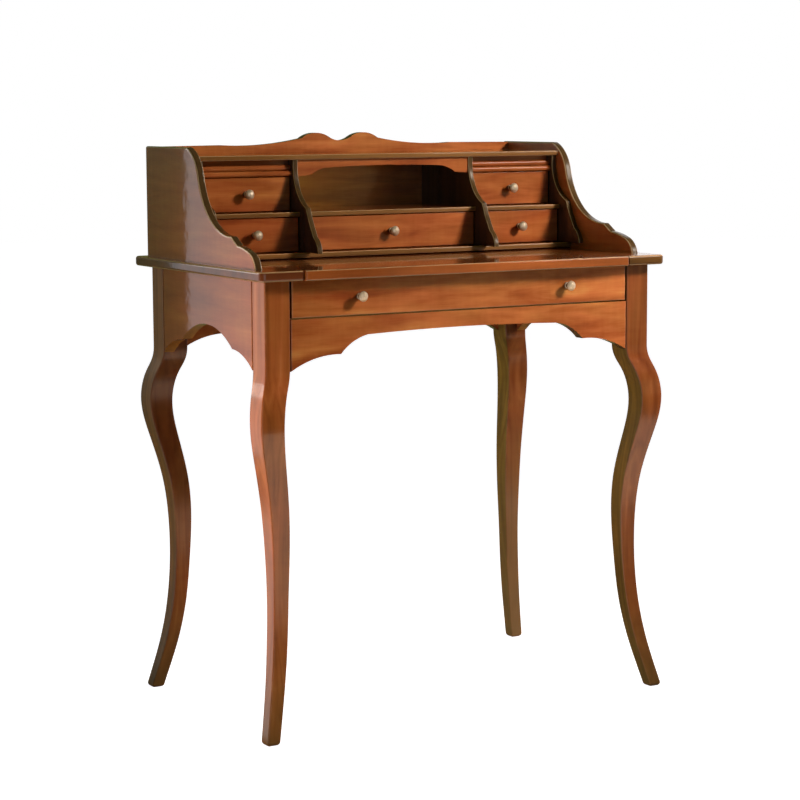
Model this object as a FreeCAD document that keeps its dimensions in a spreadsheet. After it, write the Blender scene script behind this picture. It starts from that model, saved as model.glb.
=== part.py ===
import FreeCAD, Part
import math
import os
import re
import Sketcher

# A bonheur du jour: a small lady's writing desk with a drawer gallery on four cabriole legs.
# X runs to the sitter's right, Y away from the sitter, Z up. The origin is on the floor under the
# middle of the top. Lengths are in millimetres. A name that ends in _back is a distance behind the
# front edge of the fixed top, one that ends in _up is a height above the writing surface, and one
# that ends in _drop is a depth below the underside of the top.

sizes = {
    # desk top
    "top_width": 800,
    "top_depth": 500,
    "top_height": 780,
    "top_thick": 17,
    "top_corner": 10,
    "top_edge": 4.5,
    # writing slide, which pulls out of the middle of the top
    "side_board_width": 77,
    "slide_depth": 385,
    "slide_gap": 3,
    "slide_proud": 3,
    "slide_edge": 3,
    "slide_rail_thick": 10,
    "slide_rail_lap": 10,
    # posts and cabriole legs
    "post_width": 46,
    "post_side_inset": 19,
    "post_front_inset": 25,
    "post_rear_inset": 34,
    "post_drop": 143,
    "knee_drop": 231,
    "knee_out": 18.4,
    "knee_thick": 43.5,
    "waist_height": 240,
    "waist_in": 16.2,
    "waist_thick": 28.2,
    "foot_out": 18.5,
    "foot_thick": 24,
    "front_foot_sweep": 9.4,
    "rear_foot_tuck": 2.5,
    "leg_arris": 2.2,
    "foot_round": 6,
    # aprons between the posts
    "apron_thick": 20,
    "apron_joint_round": 3.5,
    "apron_end_drop": 150,
    "front_lobe": 94,
    "front_lobe_drop": 125.5,
    "front_lobe_bow": 7.5,
    "front_rise": 145,
    "front_rise_drop": 95.5,
    "front_rise_bow": 5,
    "front_crown_bow": 4,
    "side_lobe": 76,
    "side_lobe_drop": 120,
    "side_lobe_bow": 7.3,
    "side_rise": 140,
    "side_rise_drop": 89.5,
    "side_rise_bow": 3.8,
    "side_crown_bow": 3.5,
    # wide drawer under the top
    "drawer_front_thick": 18,
    "drawer_side_thick": 12,
    "drawer_bottom_thick": 6,
    "drawer_bottom_lift": 3,
    "drawer_drop": 63,
    "drawer_gap": 1.2,
    "drawer_end_gap": 3,
    "drawer_side_gap": 2,
    "drawer_head_room": 4,
    "drawer_rear_gap": 6,
    "drawer_round": 2,
    "wide_knob_spread": 206.5,
    "knob_rise": 0.5,
    "runner_width": 25,
    "runner_thick": 12,
    "runner_guide_drop": 20,
    "runner_gap": 0.4,
    # turned knobs
    "knob_head": 17.5,
    "knob_length": 19.5,
    "knob_crown": 4.5,
    "knob_under": 6,
    "knob_under_bow": 1.4,
    "knob_rim_round": 1.8,
    "knob_neck": 8,
    "knob_foot": 11,
    "knob_foot_thick": 2,
    "knob_foot_bow": 0.8,
    # gallery
    "gallery_width": 764,
    "gallery_side_thick": 14,
    "gallery_side_round": 3.5,
    "gallery_side_corner": 6,
    "gallery_rear_back": 480,
    "gallery_back_thick": 16,
    "gallery_side_up": 194,
    "crest_back": 312,
    "corner_back": 268,
    "corner_up": 145,
    "corner_bow": 8.4,
    "sweep_back": 145.5,
    "sweep_up": 50.3,
    "sweep_bow": 27.5,
    "step_back": 122.5,
    "step_up": 36.5,
    "nose_top_back": 79,
    "nose_top_up": 27,
    "nose_top_bow": 1.5,
    "nose_back": 55.5,
    "nose_bow": 4.7,
    "back_end_up": 193,
    "back_tail": 240,
    "back_tail_up": 194,
    "back_tail_bow": 5.2,
    "back_crest": 80,
    "back_crest_up": 204.4,
    "back_crest_bow": 9.7,
    "back_dip": 20,
    "back_dip_up": 205,
    "back_dip_bow": 5,
    "base_back": 247,
    "base_thick": 9,
    "base_gap": 2,
    "shelf_thick": 8,
    "shelf_back": 272,
    "shelf_up": 80.5,
    "top_shelf_back": 292,
    "top_shelf_thick": 9,
    "top_shelf_up": 179,
    "shelf_round": 2.5,
    # upright partitions of the gallery
    "partition_thick": 10,
    "centre_bay_width": 350,
    "partition_top_back": 297,
    "partition_neck_up": 163,
    "partition_cusp_back": 250.5,
    "partition_cusp_up": 88,
    "partition_cusp_bow": 14.5,
    "partition_knee_back": 224,
    "partition_knee_up": 39,
    "partition_knee_bow": 1.5,
    "partition_foot_back": 207,
    "partition_foot_bow": 4,
    "partition_round": 2.5,
    "partition_corner": 4,
    # valance over the pigeonhole and mouldings over the upper drawers
    "valance_back": 300,
    "valance_thick": 9,
    "valance_ear": 27,
    "valance_ear_slope": 2,
    "valance_rise": 63,
    "valance_rise_bow": 3,
    "valance_ear_depth": 26.5,
    "valance_rise_depth": 14,
    "valance_crown_bow": 2.5,
    "moulding_back": 304,
    "moulding_depth": 22,
    "moulding_height": 28,
    "moulding_band": 9,
    "moulding_band_bow": 2.2,
    "moulding_set": 6,
    # small drawers
    "upper_front_back": 308,
    "lower_front_back": 277,
    "small_front_thick": 13,
    "small_side_thick": 8,
    "small_bottom_thick": 4,
    "small_bottom_lift": 2.5,
    "small_gap": 1,
    "small_side_gap": 1,
    "small_head_room": 5,
    "small_rear_gap": 5,
    "small_round": 1.5,
    "arris": 1,
}

doc = FreeCAD.newDocument("BonheurDuJour")
sheet = doc.addObject("Spreadsheet::Sheet", "Sizes")
for row, (name, number) in enumerate(sizes.items(), start=1):
    sheet.set(f"A{row}", name)
    sheet.set(f"B{row}", str(number))
    sheet.setAlias(f"B{row}", name)
doc.recompute()

pieces = {}  # name of each finished piece: its object


def expression(text):
    """Writes the sheet's name before each size in an expression."""
    return re.sub(r"[a-z]\w*", lambda word: "Sizes." + word[0] if word[0] in sizes else word[0], text)


def value(text):
    return float(sheet.evalExpression(expression(text)))


# Places that many pieces share, as expressions of the sizes.
frontEdge = "((slide_proud - top_depth) / 2)"
underTop = "(top_height - top_thick)"
postOuter = "(top_width / 2 - post_side_inset)"
postInner = "(top_width / 2 - post_side_inset - post_width)"
postFront = "post_front_inset"
postRear = "(top_depth - post_rear_inset)"
galleryInner = "(gallery_width / 2 - gallery_side_thick)"
stripInner = "(top_width / 2 - side_board_width)"
slideEdge = "(top_width / 2 - side_board_width - slide_gap)"
backFace = "(gallery_rear_back - gallery_back_thick)"
baseTop = "(top_height + base_gap + base_thick)"
shelfTop = "(top_height + shelf_up)"
topShelfTop = "(top_height + top_shelf_up)"
topShelfUnder = "(top_height + top_shelf_up - top_shelf_thick)"
drawerFloor = "(top_height - top_thick - drawer_drop)"
partitionInner = "(centre_bay_width / 2)"
partitionOuter = "(centre_bay_width / 2 + partition_thick)"
liningInner = "(gallery_width / 2 - gallery_side_thick - partition_thick)"


def behind(distance):
    """The Y of a distance behind the front edge of the fixed top."""
    return f"({frontEdge} + {distance})"


def newSketch(name, plane):
    body = doc.addObject("PartDesign::Body", name)
    body.Label = name
    sketch = body.newObject("Sketcher::SketchObject", name + "_sketch")
    support = [part for part in body.Origin.OriginFeatures if part.Role == plane][0]
    sketch.AttachmentSupport = [(support, "")]
    sketch.MapMode = "FlatFace"
    return body, sketch


def spot(pair):
    return FreeCAD.Vector(value(pair[0]), value(pair[1]), 0)


def bowed(start, end, bow):
    """An arc that stands off its chord by bow, to the left of the way from start to end."""
    along = end - start
    left = FreeCAD.Vector(-along.y, along.x, 0).normalize()
    return Part.Arc(start, (start + end) / 2 + left * bow, end)


def pin(sketch, geometry, end, pair):
    """Holds one end of a line or arc at a place that the sheet gives."""
    for kind, text in zip(("DistanceX", "DistanceY"), pair):
        index = sketch.addConstraint(Sketcher.Constraint(kind, -1, 1, geometry, end, value(text)))
        sketch.setExpression(f"Constraints[{index}]", expression(text))


def outline(sketch, start, *steps):
    """Draws a closed outline. A step is a corner, or a corner with the bow of the arc that reaches it."""
    corners = [start] + [step[:2] for step in steps]
    ends = []
    for step, here, there in zip(steps, corners, corners[1:]):
        first, last = spot(here), spot(there)
        edge = bowed(first, last, value(step[2])) if len(step) == 3 else Part.LineSegment(first, last)
        number = sketch.addGeometry(edge, False)
        startsFirst = (sketch.getPoint(number, 1) - first).Length < (sketch.getPoint(number, 2) - first).Length
        ends.append((number, 1, 2) if startsFirst else (number, 2, 1))
    for (number, head, tail), following in zip(ends, ends[1:] + ends[:1]):
        sketch.addConstraint(Sketcher.Constraint("Coincident", number, tail, following[0], following[1]))
    for (number, head, tail), corner in zip(ends, corners):
        pin(sketch, number, head, corner)


def place(item, x, y, z):
    for axis, text in zip("xyz", (x, y, z)):
        if text:
            item.setExpression(f".Placement.Base.{axis}", expression(text))


def pad(body, sketch, length, backwards=False):
    feature = body.newObject("PartDesign::Pad", body.Name + "_pad")
    feature.Profile = sketch
    feature.Reversed = backwards
    feature.setExpression("Length", expression(length))
    doc.recompute()
    return feature


def onSide(points, shape, side):
    """Whether all points lie as far out as the shape goes on one side, such as XMin."""
    furthest = min if side.endswith("Min") else max
    level = furthest(getattr(vertex.Point, side[0].lower()) for vertex in shape.Vertexes)
    return all(abs(getattr(point, side[0].lower()) - level) < 1e-3 for point in points)


def edgePoints(edge):
    middle = edge.valueAt((edge.FirstParameter + edge.LastParameter) / 2)
    return [vertex.Point for vertex in edge.Vertexes] + [middle]


def rim(shape, sides, skipped=()):
    """Names of a shape's edges on the named sides, without those on the skipped sides."""
    names = []
    for number, edge in enumerate(shape.Edges, start=1):
        points = edgePoints(edge)
        wanted = any(onSide(points, shape, side) for side in sides)
        if wanted and not any(onSide(points, shape, side) for side in skipped):
            names.append(f"Edge{number}")
    return names


def across(shape, skipped):
    """Names of the edges that cross a panel from face to face, without those on the skipped sides."""
    rims = rim(shape, ["XMin", "XMax", *skipped])
    return [f"Edge{number}" for number in range(1, len(shape.Edges) + 1) if f"Edge{number}" not in rims]


def upright(shape, side, other):
    """Names of a shape's vertical edges where two sides of its box meet."""
    return [name for name in rim(shape, [side]) if name in rim(shape, [other])]


def rounded(body, names, radius):
    base = body.Tip
    feature = body.newObject("PartDesign::Fillet", body.Name + "_round")
    feature.Base = (base, names)
    feature.setExpression("Radius", expression(radius))
    doc.recompute()


def board(name, x, y, z, roundSides=(), skipped=(), radius="arris", keep=True):
    """A plain board between pairs of X, distance behind the front edge, and Z."""
    body, sketch = newSketch(name, "XY_Plane")
    width, depth = f"({x[1]}) - ({x[0]})", f"({y[1]}) - ({y[0]})"
    outline(sketch, ("0", "0"), (width, "0"), (width, depth), ("0", depth), ("0", "0"))
    pad(body, sketch, f"({z[1]}) - ({z[0]})")
    if roundSides:
        rounded(body, rim(body.Shape, roundSides, skipped), radius)
    place(body, x[0], behind(y[0]), z[0])
    if keep:
        pieces[name] = body
    return body


def grouped(name, members):
    """Twin pieces that share one node."""
    group = doc.addObject("Part::Compound", name)
    group.Label = name
    group.Links = members
    pieces[name] = group


sideWays = {"left": -1, "right": 1}


def sideSpan(way, inner, outer):
    """The X of a piece's left and right faces, for a piece between two distances from the middle."""
    return (f"-({outer})", f"-({inner})") if way < 0 else (inner, outer)


# Legs. Each is sawn twice from one square blank: the front view and the side view have the same
# cabriole curve, and the piece is what the two cuts have in common.

def legStations():
    """Height, outward offset and thickness down the leg, from the foot to the post."""
    waist, knee = value("waist_height"), value(f"{underTop} - knee_drop")
    postEnd = value(f"{underTop} - post_drop")
    footOut, waistOut, kneeOut = value("foot_out"), -value("waist_in"), value("knee_out")
    footThick, waistThick, kneeThick = value("foot_thick"), value("waist_thick"), value("knee_thick")
    stations = []
    for share in (0, 1 / 3, 2 / 3):  # foot to waist, flattening out as it rises
        out = waistOut + (footOut - waistOut) * (1 - share) ** 1.8
        stations.append((waist * share, out, footThick + (waistThick - footThick) * share))
    for share in (0, 1 / 4, 1 / 2, 3 / 4):  # waist to knee
        ease = (1 - math.cos(math.pi * share ** 1.65)) / 2
        out = waistOut + (kneeOut - waistOut) * ease
        stations.append((waist + (knee - waist) * share, out, waistThick + (kneeThick - waistThick) * share))
    for share in (0, 1 / 2, 1):  # knee to post
        ease = (1 - math.cos(math.pi * share ** 1.15)) / 2
        thick = kneeThick + (value("post_width") - kneeThick) * share
        stations.append((knee + (postEnd - knee) * share, kneeOut * (1 - ease), thick))
    return stations


def splineThrough(points):
    spline = Part.BSplineCurve()
    start, end = (points[1] - points[0]).normalize(), FreeCAD.Vector(0, 1, 0)
    spline.interpolate(Points=points, InitialTangent=start, FinalTangent=end)
    return spline


def legProfile(name, sweep):
    """One view of a leg as a sketch: outward offset across, height up. sweep leans the foot outward."""
    postEnd = value(f"{underTop} - post_drop")
    outer, inner = [], []
    for height, out, thick in legStations():
        out += sweep * (1 - height / postEnd)
        outer.append(FreeCAD.Vector(out, height, 0))
        inner.append(FreeCAD.Vector(out - thick, height, 0))
    sketch = doc.addObject("Sketcher::SketchObject", name)
    top = value(underTop)
    outerTop, innerTop = FreeCAD.Vector(0, top, 0), FreeCAD.Vector(-value("post_width"), top, 0)
    edges = [
        Part.LineSegment(inner[0], outer[0]),
        splineThrough(outer),
        Part.LineSegment(outer[-1], outerTop),
        Part.LineSegment(outerTop, innerTop),
        Part.LineSegment(innerTop, inner[-1]),
        splineThrough(inner),
    ]
    for edge in edges:
        sketch.addGeometry(edge, False)
    for number, end, other, otherEnd in ((0, 2, 1, 1), (1, 2, 2, 1), (2, 2, 3, 1), (3, 2, 4, 1), (4, 2, 5, 2)):
        sketch.addConstraint(Sketcher.Constraint("Coincident", number, end, other, otherEnd))
    pin(sketch, 3, 1, ("0", underTop))
    pin(sketch, 3, 2, ("-post_width", underTop))
    return sketch


def sawnSlab(name, sketch, angle):
    """A leg profile cut right through the blank, square to the floor, facing angle degrees about Z."""
    slab = doc.addObject("Part::Extrusion", name)
    upward = FreeCAD.Rotation(FreeCAD.Vector(1, 0, 0), 90)
    sketch.Placement = FreeCAD.Placement(FreeCAD.Vector(), FreeCAD.Rotation(FreeCAD.Vector(0, 0, 1), angle) * upward)
    slab.Base = sketch
    slab.DirMode = "Normal"
    slab.Solid = True
    slab.Symmetric = True
    slab.setExpression("LengthFwd", expression("4 * (post_width + foot_out + front_foot_sweep + waist_in)"))
    return slab


def leg(row, sweep, front, turn):
    """The pair of legs of the front or rear row. front is the post's outer Y, turn faces the side view."""
    faceOn = sawnSlab(f"{row}_leg_face", legProfile(f"{row}_leg_face_profile", 0), 180)
    sideOn = sawnSlab(f"{row}_leg_side", legProfile(f"{row}_leg_side_profile", sweep), turn)
    common = doc.addObject("Part::Common", f"{row}_leg_sawn")
    common.Base = faceOn
    common.Tool = sideOn
    doc.recompute()
    eased = doc.addObject("Part::Fillet", f"{row}_leg_eased")
    eased.Base = common
    skip = rim(common.Shape, ["ZMax"])
    arris, foot = value("leg_arris"), value("foot_round")
    numbers = [number for number in range(1, len(common.Shape.Edges) + 1) if f"Edge{number}" not in skip]
    corners = [number for number in numbers if isCorner(common.Shape, common.Shape.Edges[number - 1])]
    under = [number for number in corners if onSide(edgePoints(common.Shape.Edges[number - 1]), common.Shape, "ZMin")]
    eased.Edges = [(number, *[foot if number in under else arris] * 2) for number in corners]
    doc.recompute()
    for side, way in sideWays.items():
        name = f"leg_{row}_{side}"
        if way < 0:
            piece = doc.addObject("Part::Compound", name)
            piece.Links = [eased]
        else:
            piece = doc.addObject("Part::Mirroring", name)
            piece.Source = eased
            piece.Normal = FreeCAD.Vector(1, 0, 0)
        piece.Label = name
        place(piece, f"{way} * {postOuter}", front, None)
        pieces[name] = piece


def isCorner(shape, edge):
    """Whether an edge runs up the sawn leg or round its foot, and not where two curves of a face meet."""
    points = edgePoints(edge)
    return abs(points[0].z - points[-2].z) > 5 or onSide(points, shape, "ZMin")


leg("front", value("front_foot_sweep"), behind(postFront), -90)
leg("rear", -value("rear_foot_tuck"), behind(postRear), 90)
print("legs done")


# Aprons. The lower edge of each is a lobe at either end, a rise and a shallow crown.

def archSteps(half, middle, lobe, lobeBow, rise, riseBow, crownBow):
    """The lower edge from the far end to the near end. lobe and rise are (distance in, depth)."""
    def at(way, inward, drop):
        return (f"{middle} + {way} * ({half} - {inward})", f"{underTop} - {drop}")

    far, near = 1, -1
    return [
        (*at(far, "0", "apron_end_drop"),),
        (*at(far, *lobe), f"-{lobeBow}"),
        (*at(far, *rise), f"-{riseBow}"),
        (*at(near, *rise), f"-{crownBow}"),
        (*at(near, *lobe), f"-{riseBow}"),
        (*at(near, "0", "apron_end_drop"), f"-{lobeBow}"),
    ]


def crossApron(name, face, top, jointSide):
    """An apron across the desk: face is how far back its front face is, jointSide its outer side."""
    body, sketch = newSketch(name, "XZ_Plane")
    arch = archSteps(
        postInner, "0", ("front_lobe", "front_lobe_drop"), "front_lobe_bow",
        ("front_rise", "front_rise_drop"), "front_rise_bow", "front_crown_bow")
    outline(sketch, (f"-{postInner}", top), (postInner, top), *arch, (f"-{postInner}", top))
    pad(body, sketch, "apron_thick", backwards=True)
    shape = body.Shape
    rounded(body, upright(shape, "XMin", jointSide) + upright(shape, "XMax", jointSide), "apron_joint_round")
    place(body, None, behind(face), None)
    pieces[name] = body


crossApron("apron_front", postFront, f"{drawerFloor} - drawer_gap", "YMin")
crossApron("apron_back", f"({postRear} - apron_thick)", underTop, "YMax")

postSpan = f"({postRear} - {postFront} - 2 * post_width)"
for side, way in sideWays.items():
    name = f"apron_{side}"
    body, sketch = newSketch(name, "YZ_Plane")
    arch = archSteps(
        f"{postSpan} / 2", f"{postSpan} / 2", ("side_lobe", "side_lobe_drop"), "side_lobe_bow",
        ("side_rise", "side_rise_drop"), "side_rise_bow", "side_crown_bow")
    outline(sketch, ("0", underTop), (postSpan, underTop), *arch, ("0", underTop))
    pad(body, sketch, "apron_thick")
    outerSide = "XMin" if way < 0 else "XMax"
    joints = upright(body.Shape, "YMin", outerSide) + upright(body.Shape, "YMax", outerSide)
    rounded(body, joints, "apron_joint_round")
    place(body, sideSpan(way, f"({postOuter} - apron_thick)", postOuter)[0],
          behind(f"({postFront} + post_width)"), None)
    pieces[name] = body
print("aprons done")


# Runners for the wide drawer and rails for the writing slide, fixed inside the side aprons.
insideSpan = (f"{postFront} + post_width", f"{postRear} - post_width")
apronInside = f"({postOuter} - apron_thick)"
runners, rails = [], []
for side, way in sideWays.items():
    body, sketch = newSketch(f"drawer_runner_{side}", "XZ_Plane")
    guide = f"{way} * ({postInner} + runner_gap)"
    ledge = f"{way} * ({postInner} - runner_width)"
    wall = f"{way} * {apronInside}"
    floor, low, high = f"{drawerFloor}", f"{drawerFloor} - runner_thick", f"{underTop} - runner_guide_drop"
    outline(sketch, (ledge, low), (wall, low), (wall, high), (guide, high), (guide, floor), (ledge, floor), (ledge, low))
    pad(body, sketch, f"{insideSpan[1]} - ({insideSpan[0]})", backwards=True)
    place(body, None, behind(insideSpan[0]), None)
    runners.append(body)
    railSpan = sideSpan(way, f"{slideEdge} - slide_rail_lap", apronInside)
    rails.append(board(f"slide_rail_{side}", railSpan, insideSpan, (f"{underTop} - slide_rail_thick", underTop), keep=False))
grouped("drawer_runners", runners)
grouped("slide_rails", rails)


# The top: two fixed side boards, a rear board under the gallery, and the writing slide between them.
slab = (underTop, "top_height")
for side, way in sideWays.items():
    span = sideSpan(way, stripInner, "top_width / 2")
    outerSide, innerSide = ("XMin", "XMax") if way < 0 else ("XMax", "XMin")
    strip = board(f"top_{side}", span, ("0", "top_depth"), slab)
    shape = strip.Shape
    rounded(strip, upright(shape, "YMin", outerSide) + upright(shape, "YMax", outerSide), "top_corner")
    rounded(strip, rim(strip.Shape, ["ZMin", "ZMax"], [innerSide]), "top_edge")
rear = (f"-{stripInner}", stripInner)
rearFront = "slide_depth - slide_proud + slide_gap"
board("top_rear", rear, (rearFront, "top_depth"), slab, ["YMax"], ["XMin", "XMax"], "top_edge")
board("writing_slide", (f"-{slideEdge}", slideEdge), ("-slide_proud", "slide_depth - slide_proud"),
      slab, ["YMin"], [], "slide_edge")
print("top done")


# Gallery shell: shaped side panels, scrolled back panel, base board and top shelf.
for side, way in sideWays.items():
    name = f"gallery_side_{side}"
    body, sketch = newSketch(name, "YZ_Plane")
    up = "top_height + "
    rearEdge = behind("gallery_rear_back")
    outline(
        sketch, (rearEdge, "top_height"), (rearEdge, up + "gallery_side_up"),
        (behind("crest_back"), up + "gallery_side_up"),
        (behind("corner_back"), up + "corner_up", "-corner_bow"),
        (behind("sweep_back"), up + "sweep_up", "sweep_bow"),
        (behind("step_back"), up + "step_up"),
        (behind("nose_top_back"), up + "nose_top_up", "-nose_top_bow"),
        (behind("nose_back"), "top_height", "-nose_bow"),
        (rearEdge, "top_height"))
    pad(body, sketch, "gallery_side_thick")
    rounded(body, across(body.Shape, ["ZMin", "YMax"]), "gallery_side_corner")
    rounded(body, rim(body.Shape, ["XMin", "XMax"], ["ZMin", "YMax"]), "gallery_side_round")
    place(body, sideSpan(way, galleryInner, "gallery_width / 2")[0], None, None)
    pieces[name] = body

body, sketch = newSketch("gallery_back", "XZ_Plane")
up = "top_height + "
outline(
    sketch, (f"-{galleryInner}", "top_height"), (galleryInner, "top_height"),
    (galleryInner, up + "back_end_up"), ("back_tail", up + "back_tail_up"),
    ("back_crest", up + "back_crest_up", "back_tail_bow"), ("back_dip", up + "back_dip_up", "-back_crest_bow"),
    ("-back_dip", up + "back_dip_up", "back_dip_bow"), ("-back_crest", up + "back_crest_up", "-back_crest_bow"),
    ("-back_tail", up + "back_tail_up", "back_tail_bow"), (f"-{galleryInner}", up + "back_end_up"),
    (f"-{galleryInner}", "top_height"))
pad(body, sketch, "gallery_back_thick", backwards=True)
place(body, None, behind(backFace), None)
pieces["gallery_back"] = body

inner = (f"-{galleryInner}", galleryInner)
board("gallery_base", inner, ("base_back", backFace), ("top_height + base_gap", baseTop), ["YMin"], ["XMin", "XMax"], "shelf_round")
board("gallery_top", inner, ("top_shelf_back", backFace), (topShelfUnder, topShelfTop), ["YMin"], ["XMin", "XMax"], "shelf_round")
print("gallery shell done")


# Partitions with a swept front edge: an inner pair between the bays, an outer pair lining the sides.
for side, way in sideWays.items():
    for row, near, far in (("inner", partitionInner, partitionOuter), ("outer", liningInner, galleryInner)):
        name = f"partition_{row}_{side}"
        body, sketch = newSketch(name, "YZ_Plane")
        outline(
            sketch, (behind(backFace), baseTop), (behind(backFace), topShelfUnder),
            (behind("partition_top_back"), topShelfUnder),
            (behind("partition_top_back"), "top_height + partition_neck_up"),
            (behind("partition_cusp_back"), "top_height + partition_cusp_up", "partition_cusp_bow"),
            (behind("partition_knee_back"), "top_height + partition_knee_up", "partition_knee_bow"),
            (behind("partition_foot_back"), baseTop, "-partition_foot_bow"),
            (behind(backFace), baseTop))
        pad(body, sketch, "partition_thick")
        rounded(body, across(body.Shape, ["ZMin", "ZMax", "YMax"]), "partition_corner")
        rounded(body, rim(body.Shape, ["XMin", "XMax"], ["ZMin", "ZMax", "YMax"]), "partition_round")
        place(body, sideSpan(way, near, far)[0], None, None)
        pieces[name] = body

bays = {"left": (f"-{liningInner}", f"-{partitionOuter}"), "centre": (f"-{partitionInner}", partitionInner),
        "right": (partitionOuter, liningInner)}
shelfHeights = (f"{shelfTop} - shelf_thick", shelfTop)
for bay, span in bays.items():
    board(f"shelf_{bay}", span, ("shelf_back", backFace), shelfHeights, ["YMin"], ["XMin", "XMax"], "shelf_round")

body, sketch = newSketch("valance", "XZ_Plane")
ear, rise = f"({partitionInner} - valance_ear)", f"({partitionInner} - valance_rise)"
earUnder, riseUnder = f"{topShelfUnder} - valance_ear_depth", f"{topShelfUnder} - valance_rise_depth"
outline(
    sketch, (f"-{partitionInner}", topShelfUnder), (partitionInner, topShelfUnder),
    (partitionInner, f"{earUnder} - valance_ear_slope"), (ear, earUnder), (rise, riseUnder, "-valance_rise_bow"),
    (f"-{rise}", riseUnder, "-valance_crown_bow"), (f"-{ear}", earUnder, "-valance_rise_bow"),
    (f"-{partitionInner}", f"{earUnder} - valance_ear_slope"), (f"-{partitionInner}", topShelfUnder))
pad(body, sketch, "valance_thick", backwards=True)
place(body, None, behind("valance_back"), None)
pieces["valance"] = body

for bay in sideWays:
    name = f"moulding_{bay}"
    body, sketch = newSketch(name, "YZ_Plane")
    low = f"({topShelfUnder} - moulding_height)"
    lower, upper = behind("moulding_back"), behind("(moulding_back + moulding_set)")
    rearFace = behind("(moulding_back + moulding_depth)")
    recess = behind("(moulding_back + 2 * moulding_set)")
    firstTop = f"({low} + moulding_band)"
    secondTop = f"({low} + 2 * moulding_band + arris)"
    outline(
        sketch, (rearFace, low), (rearFace, topShelfUnder), (recess, topShelfUnder), (recess, secondTop),
        (upper, secondTop), (upper, f"{firstTop} + arris", "-moulding_band_bow"),
        (recess, f"{firstTop} + arris"), (recess, firstTop), (lower, firstTop),
        (lower, low, "-moulding_band_bow"), (rearFace, low))
    span = bays[bay]
    pad(body, sketch, f"{span[1]} - ({span[0]})")
    place(body, span[0], None, None)
    pieces[name] = body
print("gallery fittings done")


# Knobs, turned in one piece: a foot, a neck and a domed head. The knob points towards the sitter.
# The face meets the knob's axis square on, which sets how far it bulges.
headSlant = "sqrt((knob_head / 2) ^ 2 + knob_crown ^ 2)"
faceBow = f"({headSlant} / 2 * ({headSlant} - knob_head / 2) / knob_crown)"


def knob(name, x, back, z):
    body, sketch = newSketch(name, "XY_Plane")
    rimPlace = "-(knob_length - knob_crown)"
    outline(
        sketch, ("0", "0"), ("0", "-knob_length"), ("knob_head / 2", rimPlace, f"-{faceBow}"),
        ("knob_neck / 2", f"{rimPlace} + knob_under", "-knob_under_bow"),
        ("knob_neck / 2", "-2 * knob_foot_thick"), ("knob_foot / 2", "-knob_foot_thick", "-knob_foot_bow"),
        ("knob_foot / 2", "0"), ("0", "0"))
    turned = body.newObject("PartDesign::Revolution", name + "_turned")
    turned.Profile = sketch
    turned.ReferenceAxis = (sketch, ["V_Axis"])
    turned.Angle = 360
    doc.recompute()
    widest = value("knob_head / 2")
    rims = [f"Edge{number}" for number, edge in enumerate(body.Shape.Edges, start=1)
            if all(abs(math.hypot(point.x, point.z) - widest) < 1e-3 for point in edgePoints(edge))]
    rounded(body, rims, "knob_rim_round")
    place(body, x, behind(back), z)
    return body


def drawer(name, span, front, floor, ceiling, kit):
    """A drawer: front, two sides, back and bottom. kit names its thicknesses and clearances."""
    middle = f"(({span[0]} + {span[1]}) / 2)"
    endGap, sideGap, gap = kit["endGap"], kit["sideGap"], kit["gap"]
    low, high = f"{floor} + {kit['lift']}", f"{ceiling} - {gap}"
    board(f"{name}_front", (f"{span[0]} + {endGap}", f"{span[1]} - {endGap}"),
          (front, f"{front} + {kit['frontThick']}"), (f"{floor} + {gap}", high), ["YMin"], [], kit["round"])
    boxTop = f"{high} - {kit['headRoom']}"
    boxFront, boxRear = f"{front} + {kit['frontThick']}", kit["rear"]
    left, right = f"{span[0]} + {sideGap}", f"{span[1]} - {sideGap}"
    side = kit["sideThick"]
    sides = []
    for label, edges in (("left", (left, f"{left} + {side}")), ("right", (f"{right} - {side}", right))):
        sides.append(board(f"{name}_side_{label}", edges, (boxFront, boxRear), (low, boxTop), keep=kit["apart"]))
    if not kit["apart"]:
        grouped(f"{name}_sides", sides)
    inside = (f"{left} + {side}", f"{right} - {side}")
    bottomZ = (f"{low} + {kit['bottomLift']}", f"{low} + {kit['bottomLift']} + {kit['bottomThick']}")
    backFront = f"({boxRear} - {side})"
    board(f"{name}_bottom", inside, (boxFront, boxRear), bottomZ)
    board(f"{name}_back", inside, (backFront, boxRear), (bottomZ[1], boxTop))
    knobHeight = f"(({floor}) + ({ceiling})) / 2 + knob_rise"
    if kit["knobs"] == 1:
        pieces[f"{name}_knob"] = knob(f"{name}_knob", middle, front, knobHeight)
    else:
        pair = [knob(f"{name}_knob_{label}", f"{way} * wide_knob_spread", front, knobHeight)
                for label, way in sideWays.items()]
        grouped(f"{name}_knobs", pair)


wideKit = {
    "endGap": "drawer_end_gap", "sideGap": "drawer_side_gap", "gap": "drawer_gap / 2", "lift": "runner_gap",
    "headRoom": "(slide_rail_thick + drawer_head_room)", "frontThick": "drawer_front_thick",
    "sideThick": "drawer_side_thick", "bottomThick": "drawer_bottom_thick", "bottomLift": "drawer_bottom_lift",
    "round": "drawer_round", "rear": f"({postRear} - apron_thick - drawer_rear_gap)", "apart": True, "knobs": 2,
}
smallKit = {
    "endGap": "small_gap", "sideGap": "small_side_gap", "gap": "small_gap", "lift": "small_gap / 2",
    "headRoom": "small_head_room", "frontThick": "small_front_thick", "sideThick": "small_side_thick",
    "bottomThick": "small_bottom_thick", "bottomLift": "small_bottom_lift", "round": "small_round",
    "rear": f"{backFace} - small_rear_gap", "apart": False, "knobs": 1,
}
drawer("wide_drawer", (f"-{postInner}", postInner), postFront, drawerFloor, underTop, wideKit)
shelfUnder = f"({shelfTop} - shelf_thick)"
mouldingUnder = f"({topShelfUnder} - moulding_height)"
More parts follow.
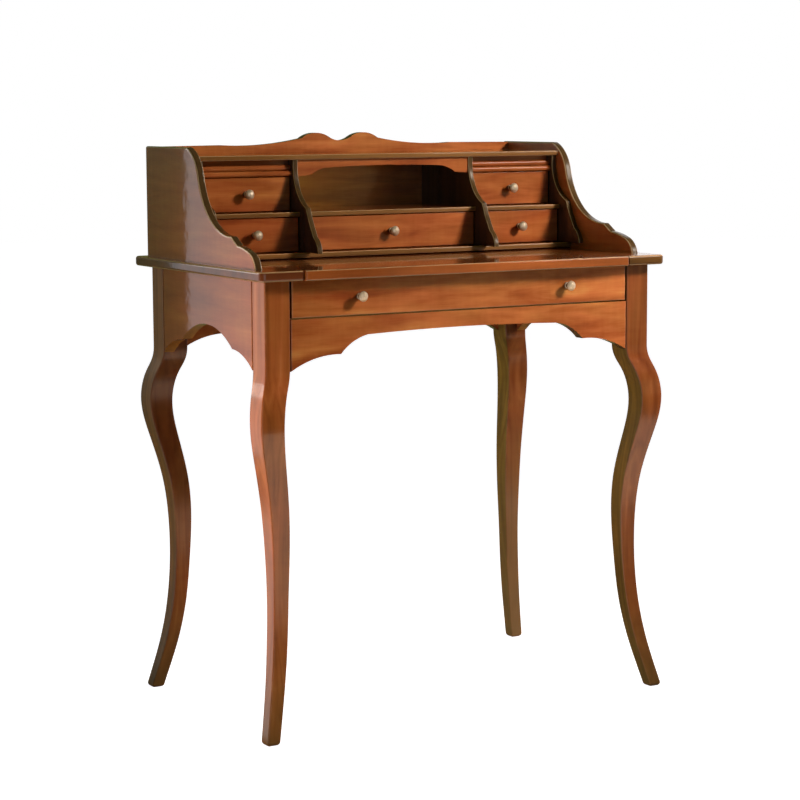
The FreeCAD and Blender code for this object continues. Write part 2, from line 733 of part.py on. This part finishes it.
for bay, span in bays.items():
    if bay == "centre":
        drawer("centre_drawer", span, "lower_front_back", baseTop, shelfUnder, smallKit)
    else:
        drawer(f"upper_{bay}_drawer", span, "upper_front_back", shelfTop, mouldingUnder, smallKit)
        drawer(f"lower_{bay}_drawer", span, "lower_front_back", baseTop, shelfUnder, smallKit)
print("drawers done")


# Check every object, then write one file for each piece.
doc.recompute()
for item in doc.Objects:
    if "Invalid" in item.State or "Error" in item.State:
        raise RuntimeError(f"{item.Label} failed: {item.State}")
for name, piece in pieces.items():
    if piece.Shape.isNull() or not piece.Shape.isValid() or not piece.Shape.Solids:
        raise RuntimeError(f"{name} has no sound shape")
os.makedirs("parts", exist_ok=True)
for name, piece in pieces.items():
    piece.Shape.exportStep(os.path.join("parts", name + ".step"))
whole = Part.makeCompound([piece.Shape for piece in pieces.values()]).BoundBox
print(len(pieces), "pieces,", sum(len(piece.Shape.Solids) for piece in pieces.values()), "solids")
print("box", [round(number, 2) for number in (whole.XMin, whole.XMax, whole.YMin, whole.YMax, whole.ZMin, whole.ZMax)])
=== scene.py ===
import math
import bpy
from mathutils import Matrix, Vector

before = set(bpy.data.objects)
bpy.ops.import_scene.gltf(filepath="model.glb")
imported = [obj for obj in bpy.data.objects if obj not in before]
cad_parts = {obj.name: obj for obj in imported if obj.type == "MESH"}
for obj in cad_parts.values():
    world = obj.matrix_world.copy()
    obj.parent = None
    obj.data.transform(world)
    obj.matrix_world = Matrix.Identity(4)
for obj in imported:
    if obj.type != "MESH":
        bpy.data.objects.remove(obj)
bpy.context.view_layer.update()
print("desk loaded,", len(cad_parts), "pieces")

# A long lens a little above the writing surface, off the left front corner
viewpoint = {
    "place": (-2.0714276, -3.5685183, 1.0465293),
    "yaw": 30.14,  # degrees from straight ahead towards the right
    "pitch": 7.261,  # degrees down
    "roll": 0.256,
    "lens": 104.664,
    "sensor": 36,
    "farEnd": 60,
}


def makeCamera():
    data = bpy.data.cameras.new("viewCamera")
    data.lens = viewpoint["lens"]
    data.sensor_width = viewpoint["sensor"]
    data.clip_end = viewpoint["farEnd"]
    camera = bpy.data.objects.new("viewCamera", data)
    bpy.context.scene.collection.objects.link(camera)
    turn = Matrix.Rotation(-math.radians(viewpoint["yaw"]), 4, "Z")
    turn = turn @ Matrix.Rotation(math.radians(90 - viewpoint["pitch"]), 4, "X")
    turn = turn @ Matrix.Rotation(-math.radians(viewpoint["roll"]), 4, "Z")
    camera.matrix_world = Matrix.Translation(viewpoint["place"]) @ turn
    bpy.context.scene.camera = camera


makeCamera()
print("camera placed")


def linear(code):
    # sRGB hex to the linear colour that the shaders take
    parts = [int(code[i:i + 2], 16) / 255 for i in (1, 3, 5)]
    return [p / 12.92 if p <= 0.04045 else ((p + 0.055) / 1.055) ** 2.4 for p in parts] + [1.0]


def addNode(tree, kind, settings=None, links=None):
    # settings go to a node's sockets and properties, "stops" are the places and colours of a ramp
    node = tree.nodes.new("ShaderNode" + kind)
    for key, value in (settings or {}).items():
        if key == "stops":
            elements = node.color_ramp.elements
            for number, (place, colour) in enumerate(value):
                element = elements[number] if number < 2 else elements.new(place)
                element.position, element.color = place, linear(colour)
        elif isinstance(key, int) or key in node.inputs:
            node.inputs[key].default_value = value
        else:
            setattr(node, key, value)
    for key, source in (links or {}).items():
        tree.links.new(source, node.inputs[key])
    return node


def newMaterial(name):
    material = bpy.data.materials.new(name)
    material.use_nodes = True
    material.node_tree.nodes.clear()
    return material, material.node_tree


# Cherry veneer, stained orange brown and sprayed with a gloss lacquer. Long growth-ring flames,
# short pore streaks and patches where the stain took unevenly show faintly through a clear coat
# that mirrors the room at a slant. On a board's edges painted shade makes it darker and olive,
# and the arris between face and edge is painted a colour of its own: a pale painted highlight on
# most woods, painted shade on the aprons. Sizes in mm, across and along the grain.
cherryVeneer = {
    "stops": [(0.0, "#672b12"), (0.35, "#984f28"), (0.65, "#bb7040"), (1.0, "#d3975b")],
    "flame": (60, 640),
    "flameRings": 5,
    "flameShare": 0.34,
    "pore": (1.8, 36),  # far finer on the real wood, and drawn this coarse to show
    "poreShare": 0.22,
    "ripple": (70, 11),
    "rippleShare": 0.10,
    "patch": (26, 150),
    "patchShare": 1.0,
    "blush": (38, 110),  # where the stain went redder or yellower
    "blushStops": [(0.36, "#ffe4d8"), (0.64, "#fbfbe2")],
    "blushShare": 0.65,
    "spray": (14, 22),  # the faint orange peel of the lacquer
    # edge: painted shade on the board's edges; arris: a painted highlight along its arrises
    "edge": "#4a2c10",
    "arris": "#c99a68",
    "arrisShare": 0.08,
    "sheen": (0.34, 0.52),  # roughness of the wood itself under the lacquer
    "coat": 1.0,
    "coatRoughness": 0.09,
}
# On the aprons the arris is painted dark as shade in the joints and along the arch
apronVeneer = dict(cherryVeneer, arris="#451b0a", arrisShare=0.85)
# The wide drawer's arris is painted pale as a highlight
drawerVeneer = dict(cherryVeneer, arris="#cfa87c", arrisShare=0.4)
# The gallery's fronts and mouldings, painted a little deeper as the shade that falls in the
# gallery
galleryVeneer = dict(
    cherryVeneer,
    stops=[(0.0, "#5b230e"), (0.35, "#8a4623"), (0.65, "#aa6236"), (1.0, "#c4854d")])
# The side aprons, as deep in painted shade, with less figure, a brighter gloss, the arch's edge
# tinted amber and the arris painted dark as shade
sideApron = dict(
    galleryVeneer, flameShare=0.22, patchShare=0.5,
    edge="#a4662c", arris="#451b0a", arrisShare=0.85, coatRoughness=0.04)
# The gallery's sides: less figure still, the rims painted dark as shade and both arrises painted
# pale as highlights
sideVeneer = dict(
    cherryVeneer, flameShare=0.22, patchShare=0.4,
    edge="#453018", arris="#ecd6b2", arrisShare=0.85, coatRoughness=0.04)
rightVeneer = dict(sideVeneer, coatRoughness=0.26)  # the right side is rubbed to satin
# Solid beech of the top boards, shelves and partitions: deeper and browner, with finer and
# straighter grain
boardBeech = dict(
    cherryVeneer,
    stops=[(0.0, "#45220d"), (0.35, "#723e1e"), (0.65, "#8a4e2b"), (1.0, "#a66c45")],
    flame=(34, 900), patch=(40, 240),
    edge="#744e2a", arris="#d8b388", arrisShare=0.7, coatRoughness=0.06)
topBeech = dict(boardBeech, edge="#583818")
leftBeech = dict(topBeech, edge="#5e2f18")  # the left board's edge is painted a redder shade
slideBeech = dict(boardBeech, edge="#86451f")  # its front edge is as red as the drawer below
# The partitions, painted much darker than the shelves as the shade their faces stand in, with
# arrises painted pale as highlights, and rubbed to satin
paintedShadeRimBeech = dict(
    boardBeech,
    stops=[(0.0, "#1c0e06"), (0.35, "#341e0d"), (0.65, "#452a13"), (1.0, "#5a3a20")],
    edge="#412d15", arris="#e0c8a4", arrisShare=0.8, coatRoughness=0.26)
# Solid beech of the legs, their sides and feet painted darker and olive as shade
legBeech = dict(
    cherryVeneer,
    stops=[(0.0, "#47230c"), (0.35, "#6f3a1a"), (0.65, "#864b27"), (1.0, "#a2663c")],
    flame=(30, 900), flameShare=0.5, patch=(34, 260), coatRoughness=0.15,
    edge="#694a1d", foot="#5c4726", footHeight=0.20)
# The rear legs are more satin, with their sides painted lighter as light. The right one of them
# is painted deeper above as shade and greyer from halfway down as painted light
rearBeech = dict(
    legBeech,
    stops=[(0.0, "#4a230c"), (0.35, "#713a1a"), (0.65, "#864b27"), (1.0, "#9f6439")],
    coat=0.6, coatRoughness=0.2, edge="#8a5526")
paintedShadingLegBeech = dict(
    rearBeech,
    stops=[(0.0, "#40200b"), (0.35, "#633216"), (0.65, "#754222"), (1.0, "#8c5733")],
    edge="#8c6a30", foot="#9c7a58", footHeight=0.46)
# The front left leg is paler
paleBeech = dict(
    legBeech,
    stops=[(0.0, "#6a3413"), (0.35, "#935026"), (0.65, "#ab6134"), (1.0, "#c47f4e")])
# Bare planed beech of the drawer boxes and runners: pale, dry and flecked
bareBeech = dict(
    cherryVeneer,
    stops=[(0.0, "#93693f"), (0.4, "#b48a58"), (0.7, "#c7a273"), (1.0, "#d6b78c")],
    flame=(48, 800), sheen=(0.57, 0.75), coat=0.0)

# How every wood's patterns are drawn: the noise, where on the plank it is read, and the middle
# around which it swings
patterns = {
    "flame": {"noise": {"Detail": 2, "Roughness": 0.4, "Distortion": 0.2},
              "shift": 0.3, "middle": 0.25},
    "pore": {"noise": {"Detail": 3, "Roughness": 0.65}, "shift": 1.7, "middle": 0.5},
    "ripple": {"noise": {"Detail": 1, "Distortion": 0.6}, "shift": 2.9, "middle": 0.5},
    "patch": {"noise": {"Detail": 3, "Roughness": 0.5, "Distortion": 0.4},
              "shift": 4.1, "middle": 0.5},
    "blush": {"noise": {"Detail": 2, "Roughness": 0.45, "Distortion": 0.3}, "shift": 5.2},
    "spray": {"noise": {"Detail": 1}, "shift": 6.3},
}
plankStep = (7.1, 3.7, 5.3)  # metres, how far apart two boards are cut from the plank at most
ringHalf = 0.5  # the tone rises for half a growth ring and falls for the other half
middleTone = 0.5  # where on the ramp the wood is when every pattern is at its middle
brightness = (0.2126, 0.7152, 0.0722)  # what red, green and blue give the eye
# How deep the pores and the orange peel look, distances in metres
relief = {
    "pore": {"Strength": 0.25, "Distance": 0.0003},
    "spray": {"Strength": 0.10, "Distance": 0.0006},
}
# Under the lacquer the wood has next to no gloss of its own
lacquer = {"IOR": 1.5, "Specular IOR Level": 0.05, "Coat IOR": 1.5}
# Painted light and shade on boards' edges, legs' sides, the arrises and towards the feet
paintedShading = {
    # by how squarely the surface faces the board's axis, from 0 on its edges to 1 on its faces
    "arrisStops": [(0.35, "#000000"), (0.72, "#ffffff"), (0.97, "#000000")],
    "edgeRange": {"From Min": 0.75, "From Max": 0.35},
    "streakLevel": 1.15,  # how light the grain is that leaves the painted edge shade's colour as it is
    "footShare": 0.75,  # how much of the foot's painted shading there is at the floor
}


def stretched(tree, grain, across, along, shift):
    # object coordinates squeezed so that a pattern of size 1 is across mm wide and along mm long
    place = addNode(tree, "TexCoord").outputs["Object"]
    chance = addNode(tree, "ObjectInfo").outputs["Random"]
    apart = addNode(tree, "VectorMath", {"operation": "SCALE", 0: plankStep}, {"Scale": chance})
    moved = addNode(tree, "VectorMath", {"operation": "ADD"}, {0: place, 1: apart.outputs[0]})
    scale = [1000 / across] * 3
    scale["XYZ".index(grain)] = 1000 / along
    return addNode(tree, "Mapping", {"Location": (shift, shift, shift), "Scale": scale},
                   {0: moved.outputs[0]}).outputs[0]


def makeWood(name, look, grain, face):
    # grain is the axis that the wood runs along, face the axis square to the board's faces, if
    # it has any
    material, tree = newMaterial(name)
    drawn = {}
    for pattern, drawing in patterns.items():
        place = stretched(tree, grain, *look[pattern], drawing["shift"])
        noise = addNode(tree, "TexNoise", {"Scale": 1, **drawing["noise"]}, {"Vector": place})
        drawn[pattern] = noise.outputs[0]
    rings = addNode(tree, "Math", {"operation": "MULTIPLY", 1: look["flameRings"]},
                    {0: drawn["flame"]})
    ringed = addNode(tree, "Math", {"operation": "PINGPONG", 1: ringHalf}, {0: rings.outputs[0]})
    layers = {"flame": ringed.outputs[0], "pore": drawn["pore"], "ripple": drawn["ripple"],
              "patch": drawn["patch"]}
    # each pattern swings around its own middle and adds its share to the tone
    start = middleTone - sum(look[pattern + "Share"] * patterns[pattern]["middle"]
                             for pattern in layers)
    tone = None
    for pattern, layer in layers.items():
        before = {2: tone.outputs[0]} if tone else {}
        tone = addNode(tree, "Math", {
            "operation": "MULTIPLY_ADD", 1: look[pattern + "Share"], 2: start,
        }, {0: layer, **before})
    colour = addNode(tree, "ValToRGB", {"stops": look["stops"]}, {0: tone.outputs[0]})
    hue = addNode(tree, "ValToRGB", {"stops": look["blushStops"]}, {0: drawn["blush"]})
    colour = addNode(tree, "MixRGB", {"blend_type": "MULTIPLY", 0: look["blushShare"]},
                     {1: colour.outputs[0], 2: hue.outputs[0]})
    if face:
        colour = paintedEdgeShading(tree, colour, look, face)
    if "foot" in look:
        colour = paintedFootShading(tree, colour, look)
    smooth, rough = look["sheen"]
    dry = addNode(tree, "MapRange", {"To Min": smooth, "To Max": rough}, {0: drawn["pore"]})
    poreBump = addNode(tree, "Bump", relief["pore"], {"Height": drawn["pore"]})
    coatBump = addNode(tree, "Bump", relief["spray"], {"Height": drawn["spray"]})
    surface = addNode(tree, "BsdfPrincipled", {
        **lacquer, "Coat Weight": look["coat"], "Coat Roughness": look["coatRoughness"],
    }, {
        "Base Color": colour.outputs[0], "Roughness": dry.outputs[0],
        "Normal": poreBump.outputs[0], "Coat Normal": coatBump.outputs[0],
    })
    addNode(tree, "OutputMaterial", links={"Surface": surface.outputs[0]})
    return material


def paintedEdgeShading(tree, colour, look, face):
    # painted light and shade on the board's edges by the edge colour, and on its arrises by the
    # arris colour
    ways = addNode(tree, "SeparateXYZ", links={0: addNode(tree, "TexCoord").outputs["Normal"]})
    square = addNode(tree, "Math", {"operation": "ABSOLUTE"}, {0: ways.outputs[face]})
    band = addNode(tree, "ValToRGB", {"stops": paintedShading["arrisStops"]}, {0: square.outputs[0]})
    paintedArris = addNode(tree, "MixRGB", {2: linear(look["arris"])},
                   {0: band.outputs[0], 1: colour.outputs[0]})
    some = addNode(tree, "MixRGB", {0: look["arrisShare"]},
                   {1: colour.outputs[0], 2: paintedArris.outputs[0]})
    toned = addNode(tree, "MixRGB", {"blend_type": "MULTIPLY", 0: 1.0, 1: linear(look["edge"])},
                    {2: streaks(tree, colour, look)})
    edge = addNode(tree, "MapRange", paintedShading["edgeRange"], {0: square.outputs[0]})
    return addNode(tree, "MixRGB",
                   links={0: edge.outputs[0], 1: some.outputs[0], 2: toned.outputs[0]})


def paintedFootShading(tree, colour, look):
    # painted shading towards the foot: darker and olive on most legs, greyer and lighter on the
    # rear right one
    place = addNode(tree, "TexCoord").outputs["Object"]
    height = addNode(tree, "SeparateXYZ", links={0: place}).outputs["Z"]
    low = addNode(tree, "MapRange", {
        "From Min": look["footHeight"], "From Max": 0.0, "To Max": paintedShading["footShare"],
    }, {0: height})
    return addNode(tree, "MixRGB", {2: linear(look["foot"])},
                   {0: low.outputs[0], 1: colour.outputs[0]})


def streaks(tree, colour, look):
    # the grain's own light and dark, around 1, to carry it on into the painted edge shade
    grey = addNode(tree, "RGBToBW", links={0: colour.outputs[0]})
    middle = linear(look["stops"][1][1])
    usual = sum(weight * part for weight, part in zip(brightness, middle))
    return addNode(tree, "Math", {"operation": "DIVIDE", 1: usual * paintedShading["streakLevel"]},
                   {0: grey.outputs[0]}).outputs[0]


# Turned brass plated pale and brushed satin: champagne on the face of the knob with faint tool
# marks, and brown painted shade under the head and round the neck
brass = {
    "stops": [(0.3, "#cdb094"), (0.7, "#f6e4cc")],
    "marks": {"Scale": 450, "Detail": 3, "Roughness": 0.6},  # a mark every 2 mm or so
    "paintedNeckShade": "#5c4427",
    "paintedNeckShadeRange": {"From Min": -0.5, "From Max": 0.05},  # over what faces away from the sitter
    "metallic": 0.65,
    "roughness": {"To Min": 0.30, "To Max": 0.44},
    "relief": {"Strength": 0.3, "Distance": 0.0004},
}


def makeBrass():
    material, tree = newMaterial("satinBrass")
    place = addNode(tree, "TexCoord").outputs
    marks = addNode(tree, "TexNoise", brass["marks"], {"Vector": place["Object"]})
    pale = addNode(tree, "ValToRGB", {"stops": brass["stops"]}, {0: marks.outputs[0]})
    ways = addNode(tree, "SeparateXYZ", links={0: place["Normal"]})
    # painted shade on the neck and the head's rim, which stand in the head's shadow
    under = addNode(tree, "MapRange", brass["paintedNeckShadeRange"], {0: ways.outputs["Y"]})
    colour = addNode(tree, "MixRGB", {2: linear(brass["paintedNeckShade"])},
                     {0: under.outputs[0], 1: pale.outputs[0]})
    rough = addNode(tree, "MapRange", brass["roughness"], {0: marks.outputs[0]})
    bump = addNode(tree, "Bump", brass["relief"], {"Height": marks.outputs[0]})
    surface = addNode(tree, "BsdfPrincipled", {"Metallic": brass["metallic"]}, {
        "Base Color": colour.outputs[0], "Roughness": rough.outputs[0],
        "Normal": bump.outputs[0],
    })
    addNode(tree, "OutputMaterial", links={"Surface": surface.outputs[0]})
    return material


# What each piece is made of, the way its grain runs and the axis square to its faces. The first
# beginning that fits a piece's name counts.
timber = [
    ("leg_front_left", "paleBeech", "Z", None),
    ("leg_rear_right", "paintedShadingLegBeech", "Z", "Y"),
    ("leg_rear", "rearBeech", "Z", "Y"),
    ("leg_", "legBeech", "Z", "Y"),
    ("apron_left", "sideApron", "Y", "X"),
    ("apron_right", "sideApron", "Y", "X"),
    ("apron_", "apronVeneer", "X", "Y"),
    ("wide_drawer_front", "drawerVeneer", "X", "Y"),
    ("top_left", "leftBeech", "X", "Z"),
    ("top_", "topBeech", "X", "Z"),
    ("writing_slide", "slideBeech", "X", "Z"),
    ("gallery_side_right", "rightVeneer", "Y", "X"),
    ("gallery_side", "sideVeneer", "Y", "X"),
    ("gallery_back", "cherryVeneer", "X", "Y"),
    ("gallery_", "boardBeech", "X", "Z"),
    ("shelf_", "boardBeech", "X", "Z"),
    ("partition_", "paintedShadeRimBeech", "Z", "X"),
    ("valance", "galleryVeneer", "X", "Y"),
    ("moulding_", "galleryVeneer", "X", None),
    ("drawer_runners", "bareBeech", "Y", None),
    ("slide_rails", "bareBeech", "Y", None),
]
smallFront = ("galleryVeneer", "X", "Y")
boxSide, boxAcross = ("bareBeech", "Y", None), ("bareBeech", "X", None)
looks = {
    "cherryVeneer": cherryVeneer, "apronVeneer": apronVeneer, "drawerVeneer": drawerVeneer,
    "galleryVeneer": galleryVeneer, "sideApron": sideApron, "sideVeneer": sideVeneer,
    "rightVeneer": rightVeneer, "boardBeech": boardBeech, "topBeech": topBeech,
    "leftBeech": leftBeech, "slideBeech": slideBeech, "paintedShadeRimBeech": paintedShadeRimBeech,
    "legBeech": legBeech, "rearBeech": rearBeech, "paintedShadingLegBeech": paintedShadingLegBeech,
    "paleBeech": paleBeech, "bareBeech": bareBeech,
}
madeWoods = {}
satinBrass = makeBrass()


def woodOf(node):
    for beginning, *wood in timber:
        if node.startswith(beginning):
            break
    else:
        wood = smallFront if node.endswith("_front") else boxSide if "_side" in node else boxAcross
    look, grain, face = wood
    name = look + grain + (face or "")
    if name not in madeWoods:
        madeWoods[name] = makeWood(name, looks[look], grain, face)
    return madeWoods[name]


for name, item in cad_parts.items():
    item.data.materials.clear()
    item.data.materials.append(satinBrass if "knob" in name else woodOf(name))
print("finishes given,", len(madeWoods), "woods")

# The lamps: a small key lamp off the right front corner throws the shadows, a broad soft one
# behind it lights them up a little, one lights the back, a warm panel lights the left side from
# its front, and a tiny green one lifts the pigeonhole as papers on its shelf would.
# The cards are only mirrored in the lacquer and the knobs, and the room past them is white. A
# dull olive one stands behind and ends so that the left side mirrors its edge. In front stands a
# dark one, and nearer the desk a brown one that all but the left end of the fronts mirrors.
# Brown ones lie on the floor before and under the desk, hang overhead and stand at the left.
# Three are bright: one in the place of the key lamp, one on the floor for the knees, and a
# window high at the left rear.
# Places in metres, power in watts, spread in degrees.
studio = {
    "lamps": {
        "key": {
            "place": (1.20, -1.25, 1.65), "size": (0.36, 0.36), "power": 12.1, "spread": 95,
            "tint": "#fff6ea", "aim": (0.27, -0.2, 0.80)},
        "soft": {
            "place": (1.50, -2.00, 0.85), "size": (1.3, 1.1), "power": 7.0, "spread": 180,
            "tint": "#fff6ea", "aim": (0.0, 0.2, 0.88)},
        "rear": {
            "place": (0.30, 2.20, 1.10), "size": (1.2, 0.8), "power": 6.0, "spread": 120,
            "tint": "#fff6ea", "aim": (0.0, 0.25, 0.65)},
        "left": {
            "place": (-1.50, -0.24, 0.57), "size": (0.4, 0.6), "power": 3.15, "spread": 62,
            "tint": "#fff2e4", "aim": (-0.38, -0.45, 0.50)},
        "paper": {
            "place": (-0.10, 0.10, 0.868), "size": (0.14, 0.06), "power": 0.11, "spread": 180,
            "tint": "#a8d048", "aim": (-0.10, 0.21, 0.93)},
    },
    "fill": "#545f2d",
    "floorRadius": 14,
    "floorCorners": 96,
    "floorTint": "#c8c4ba",
    "floorGlow": "#faf8ff",  # with the fill it makes the open floor white
    "cards": {
        "rearCard": {"tint": "#6a6a3e", "corners": (
            (-0.88, 1.14, 0), (1.2, 1.14, 0), (1.2, 1.14, 2.2), (-0.88, 1.14, 2.2))},
        "frontCard": {"tint": "#141210", "corners": (
            (2.4, -1.3, 0), (0.2, -2.9, 0), (0.2, -2.9, 2.3), (2.4, -1.3, 2.3))},
        "wallCard": {"tint": "#a8906a", "corners": (
            (2.35, -1.26, 0.42), (0.98, -2.26, 0.42), (0.98, -2.26, 1.0), (2.35, -1.26, 1.0))},
        "floorCard": {"tint": "#5c5444", "corners": (
            (-0.7, -2.4, 0.001), (2.2, -2.4, 0.001), (2.2, -0.5, 0.001), (-0.7, -0.5, 0.001))},
        "underCard": {"tint": "#6a5c40", "corners": (
            (-0.36, -0.5, 0.001), (2.2, -0.5, 0.001), (2.2, 1.14, 0.001), (-0.92, 1.14, 0.001))},
        "leftCard": {"tint": "#5c4c3a", "corners": (
            (-1.9, 0.3, 0), (-1.5, -2.9, 0), (-1.5, -2.9, 2.2), (-1.9, 0.3, 2.2))},
        "topCard": {"tint": "#4a4638", "corners": (
            (-1.6, -2.9, 2.3), (2.2, -2.9, 2.3), (2.2, 1.3, 2.3), (-1.6, 1.3, 2.3))},
        "keyCard": {"tint": "#fff6ea", "glow": 12, "corners": (
            (1.38, -1.11, 1.43), (1.02, -1.38, 1.43), (1.02, -1.38, 1.88), (1.38, -1.11, 1.88))},
        "kneeCard": {"tint": "#ffe6cc", "glow": 1.6, "corners": (
            (-0.25, -2.2, 0.002), (1.10, -2.2, 0.002), (1.10, -0.60, 0.002),
            (-0.25, -0.60, 0.002))},
        "windowCard": {"tint": "#fff8f0", "glow": 4, "corners": (
            (-2.2, 2.1, 1.05), (-1.2, 2.5, 1.05), (-1.2, 2.5, 2.7), (-2.2, 2.1, 2.7))},
    },
}


def makeLamp(name, settings):
    data = bpy.data.lights.new(name, "AREA")
    data.shape = "RECTANGLE"
    data.size, data.size_y = settings["size"]
    data.energy = settings["power"]
    data.spread = math.radians(settings["spread"])
    data.color = linear(settings["tint"])[:3]
    lamp = bpy.data.objects.new(name, data)
    bpy.context.scene.collection.objects.link(lamp)
    lamp.location = settings["place"]
    beam = Vector(settings["aim"]) - Vector(settings["place"])
    lamp.rotation_euler = beam.to_track_quat("-Z", "Y").to_euler()
    lamp.visible_camera = lamp.visible_glossy = False


def makeCard(name, settings):
    mesh = bpy.data.meshes.new(name)
    mesh.from_pydata(settings["corners"], [], [(0, 1, 2, 3)])
    card = bpy.data.objects.new(name, mesh)
    bpy.context.scene.collection.objects.link(card)
    material, tree = newMaterial(name)
    glow = addNode(tree, "Emission", {
        "Color": linear(settings["tint"]), "Strength": settings.get("glow", 1)})
    addNode(tree, "OutputMaterial", links={"Surface": glow.outputs[0]})
    mesh.materials.append(material)
    card.visible_camera = card.visible_diffuse = card.visible_shadow = False


def seenDirectly(tree):
    # 1 for rays of the camera, of a mirror and of glass, which see the white room
    rays = addNode(tree, "LightPath").outputs
    mirrored = addNode(tree, "Math", {"operation": "MAXIMUM"},
                       {0: rays["Is Camera Ray"], 1: rays["Is Glossy Ray"]})
    return addNode(tree, "Math", {"operation": "MAXIMUM"},
                   {0: mirrored.outputs[0], 1: rays["Is Transmission Ray"]}).outputs[0]


def makeStudio():
    for name, settings in studio["lamps"].items():
        makeLamp(name + "Lamp", settings)
    for name, settings in studio["cards"].items():
        makeCard(name, settings)
    world = bpy.data.worlds.new("studio")
    bpy.context.scene.world = world
    world.use_nodes = True
    tree = world.node_tree
    tree.nodes.clear()
    glow = addNode(tree, "MixRGB", {1: linear(studio["fill"]), 2: (1, 1, 1, 1)},
                   {0: seenDirectly(tree)})
    background = addNode(tree, "Background", {"Strength": 1.0}, {"Color": glow.outputs[0]})
    addNode(tree, "OutputWorld", links={"Surface": background.outputs[0]})
    bpy.ops.mesh.primitive_circle_add(
        vertices=studio["floorCorners"], radius=studio["floorRadius"], fill_type="NGON",
        location=(0, 0, 0))
    floor = bpy.context.object
    floor.name = "floor"
    material, tree = newMaterial("paleFloor")
    matt = addNode(tree, "BsdfDiffuse", {"Color": linear(studio["floorTint"])})
    white = addNode(tree, "Emission", {"Color": linear(studio["floorGlow"])})
    both = addNode(tree, "AddShader", links={0: matt.outputs[0], 1: white.outputs[0]})
    shown = addNode(tree, "MixShader",
                    links={0: seenDirectly(tree), 1: matt.outputs[0], 2: both.outputs[0]})
    addNode(tree, "OutputMaterial", links={"Surface": shown.outputs[0]})
    floor.data.materials.append(material)


makeStudio()
bpy.context.scene.view_settings.view_transform = "Standard"
print("studio lit")
